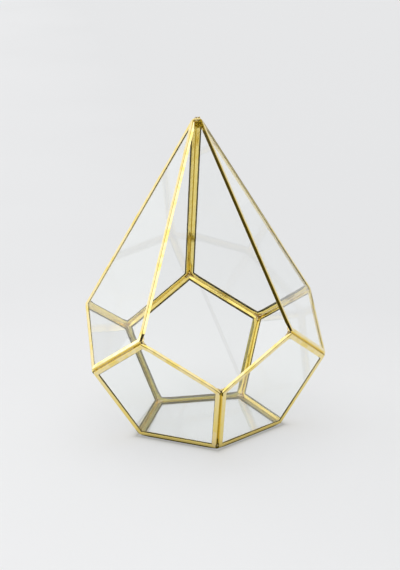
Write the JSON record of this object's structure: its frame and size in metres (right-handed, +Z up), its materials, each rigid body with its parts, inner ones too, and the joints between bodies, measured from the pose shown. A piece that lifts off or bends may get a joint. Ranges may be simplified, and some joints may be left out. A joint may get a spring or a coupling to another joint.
{
  "type": "geometric glass terrarium",
  "caption": "Teardrop-shaped faceted terrarium of clear glass panes in folded brass channel, with a flat base, a point at the top and an open kite-shaped mouth at the front.",
  "frame": {"origin": "centre of the base, on the surface that it stands on", "axes": "+Z up along the axis through the point, -Y out of the front with the open mouth, +X to the right seen from the front"},
  "size_m": [0.1866, 0.1958, 0.2518],
  "materials": {
    "glass": "clear and polished",
    "brass": "polished folded sheet",
    "solder": "lumpy solder, brass plated"
  },
  "bodies": {
    "root": {"glass_base": "glass", "glass_wall_front_right": "glass", "glass_wall_right": "glass", "glass_wall_back": "glass", "glass_wall_left": "glass", "glass_wall_front_left": "glass", "glass_roof_right": "glass", "glass_roof_back_right": "glass", "glass_roof_back_left": "glass", "glass_roof_left": "glass", "came_base_front_right": "brass", "came_base_right": "brass", "came_base_back": "brass", "came_base_left": "brass", "came_base_front_left": "brass", "came_post_front": "brass", "came_post_right": "brass", "came_post_back_right": "brass", "came_post_back_left": "brass", "came_post_left": "brass", "came_waist_front_right_1": "brass", "came_waist_front_right_2": "brass", "came_waist_right_1": "brass", "came_waist_right_2": "brass", "came_waist_back_1": "brass", "came_waist_back_2": "brass", "came_waist_left_1": "brass", "came_waist_left_2": "brass", "came_waist_front_left_1": "brass", "came_waist_front_left_2": "brass", "came_ridge_front_right": "brass", "came_ridge_right": "brass", "came_ridge_back": "brass", "came_ridge_left": "brass", "came_ridge_front_left": "brass", "solder_base_front": "solder", "solder_base_right": "solder", "solder_base_back_right": "solder", "solder_base_back_left": "solder", "solder_base_left": "solder", "solder_waist_front": "solder", "solder_waist_right": "solder", "solder_waist_back_right": "solder", "solder_waist_back_left": "solder", "solder_waist_left": "solder", "solder_shoulder_front_right": "solder", "solder_shoulder_right": "solder", "solder_shoulder_back": "solder", "solder_shoulder_left": "solder", "solder_shoulder_front_left": "solder", "solder_point": "solder"}
  },
  "joints": []
}
